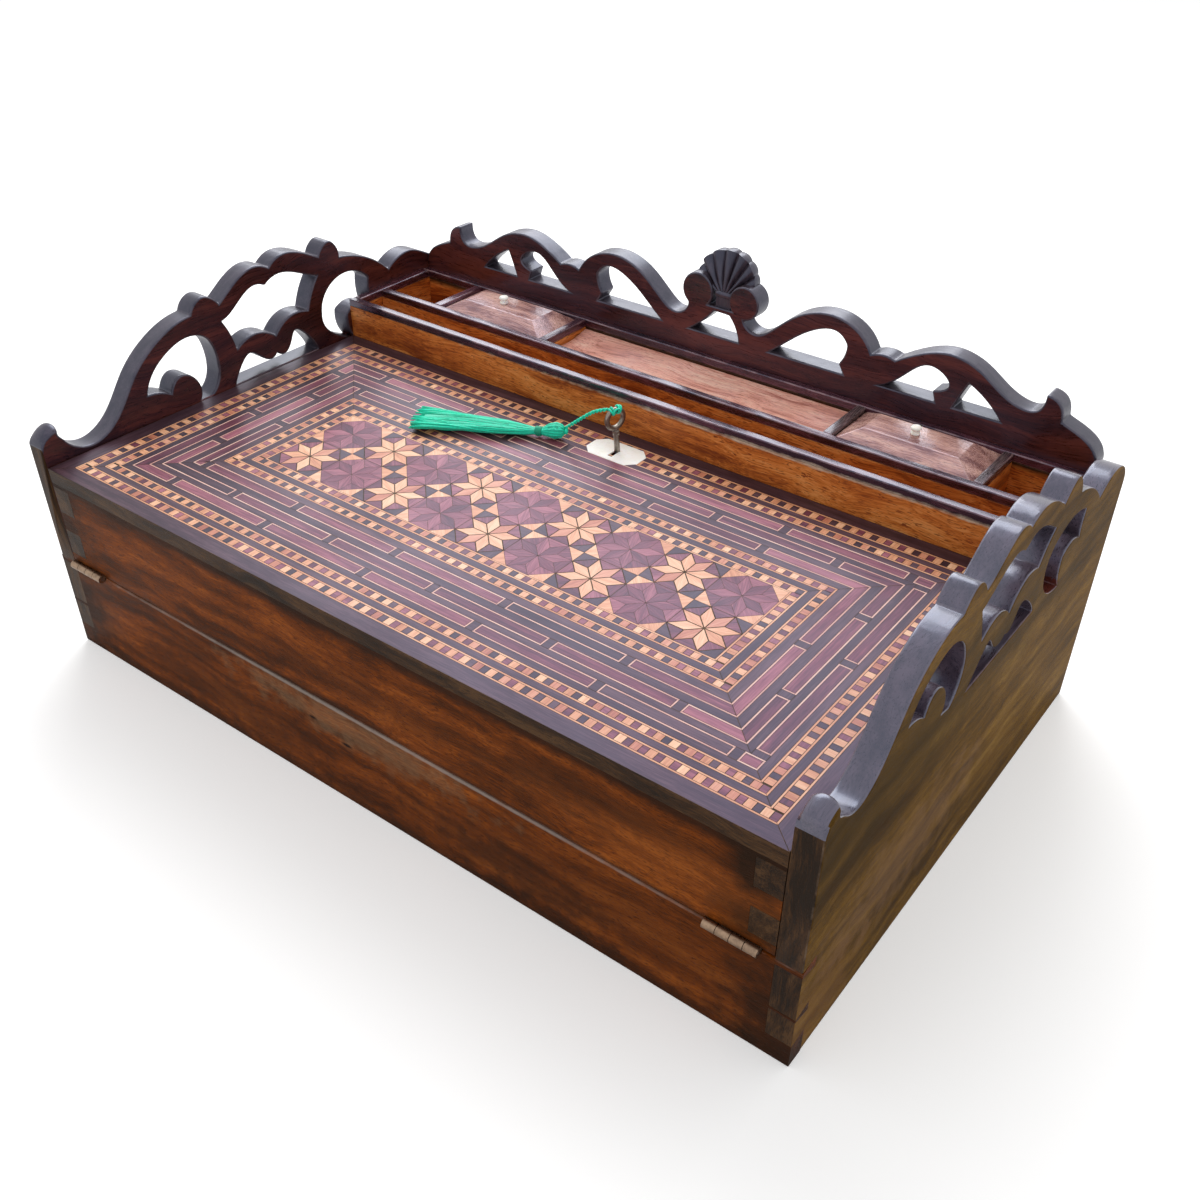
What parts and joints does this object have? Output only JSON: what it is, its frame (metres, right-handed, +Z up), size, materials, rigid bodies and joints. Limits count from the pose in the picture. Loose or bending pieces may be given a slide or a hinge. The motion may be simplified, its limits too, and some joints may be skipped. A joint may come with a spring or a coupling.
{
  "type": "writing box",
  "caption": "Low wooden writing box with a parquetry lid hinged along its front, pierced carved galleries, a fitted tray with lidded wells behind, and a tasselled key.",
  "frame": {"origin": "middle of the box's footprint, front to back over the hinge barrels too, on the surface it stands on", "axes": "+X to the right seen from the front, +Y to the back, +Z up"},
  "size_m": [0.46, 0.2987, 0.1966],
  "materials": {
    "gallery_wood": "polished dark red-brown hardwood",
    "board_wood": "polished walnut or rosewood",
    "flap_wood": "polished mahogany",
    "writing_leather": "worn dark leather",
    "tray_wood": "waxed orange-brown wood",
    "cap_wood": "polished rosewood",
    "well_lid_wood": "polished pinkish brown wood",
    "parquetry": "polished parquetry of dark and light veneers",
    "bone": "smooth bone",
    "brass": "aged brass",
    "steel": "darkened iron or steel",
    "silk": "green silk thread"
  },
  "bodies": {
    "case": {"back_board": "gallery_wood", "bottom_board": "board_wood", "cap_back": "cap_wood", "cap_cross_1": "cap_wood", "cap_cross_2": "cap_wood", "cap_cross_3": "cap_wood", "cap_cross_4": "cap_wood", "cap_divider": "cap_wood", "cap_end_left": "cap_wood", "cap_end_right": "cap_wood", "cap_front": "cap_wood", "case_screws": "steel", "cross_divider_1": "tray_wood", "cross_divider_2": "tray_wood", "cross_divider_3": "tray_wood", "cross_divider_4": "tray_wood", "hinge_leaf_case_left": "brass", "hinge_leaf_case_right": "brass", "hinge_pin_left": "steel", "hinge_pin_right": "steel", "lower_front_board": "board_wood", "pen_tray_lining": "tray_wood", "shell_crest": "gallery_wood", "side_board_left": "gallery_wood", "side_board_right": "gallery_wood", "slope_rail_left": "board_wood", "slope_rail_right": "board_wood", "strike_plate": "brass", "tray_back_strip": "tray_wood", "tray_end_wall_left": "tray_wood", "tray_end_wall_right": "tray_wood", "tray_floor": "tray_wood", "tray_front_wall": "tray_wood", "tray_long_divider": "tray_wood", "well_lining_left": "tray_wood", "well_lining_right": "tray_wood", "writing_flap_lower": "flap_wood", "writing_leather_lower": "writing_leather"},
    "lid": {"lid_panel": "flap_wood", "parquetry_veneer": "parquetry", "escutcheon": "bone", "lid_front_board": "board_wood", "lid_side_left": "board_wood", "lid_side_right": "board_wood", "lid_rear_rail": "board_wood", "writing_flap_upper": "flap_wood", "writing_leather_upper": "writing_leather", "lock_case": "brass", "hinge_leaf_lid_left": "brass", "hinge_leaf_lid_right": "brass", "lid_screws": "steel"},
    "bolt": {"lock_bolt": "steel"},
    "key": {"key": "steel", "tassel_cord": "silk", "tassel": "silk"},
    "well_lid_left": {"well_lid_left": "well_lid_wood", "knob_left": "bone"},
    "well_lid_right": {"well_lid_right": "well_lid_wood", "knob_right": "bone"},
    "pen_tray": {"pen_tray": "well_lid_wood"}
  },
  "joints": [
    {"name": "lid_hinge", "type": "hinge", "parent": "case", "child": "lid", "pos_m": [0, -0.14715, 0.058], "axis": [1, 0, 0], "range_deg": [0, 180]},
    {"name": "key_turn", "type": "hinge", "parent": "lid", "child": "key", "pos_m": [0, 0.04835, 0.115], "axis": [0, 0, 1], "range_deg": [0, 120]},
    {"name": "bolt_slide", "type": "slide", "parent": "lid", "child": "bolt", "axis": [0, 1, 0], "range_m": [0, 0.0036]},
    {"name": "well_lid_left_lift", "type": "slide", "parent": "case", "child": "well_lid_left", "axis": [0, 0, 1], "range_m": [0, 0.04]},
    {"name": "well_lid_right_lift", "type": "slide", "parent": "case", "child": "well_lid_right", "axis": [0, 0, 1], "range_m": [0, 0.04]},
    {"name": "pen_tray_lift", "type": "slide", "parent": "case", "child": "pen_tray", "axis": [0, 0, 1], "range_m": [0, 0.04]}
  ],
  "couplings": [
    {"joint": "bolt_slide", "follows": "key_turn", "m_per_rad": 0.001718}
  ]
}
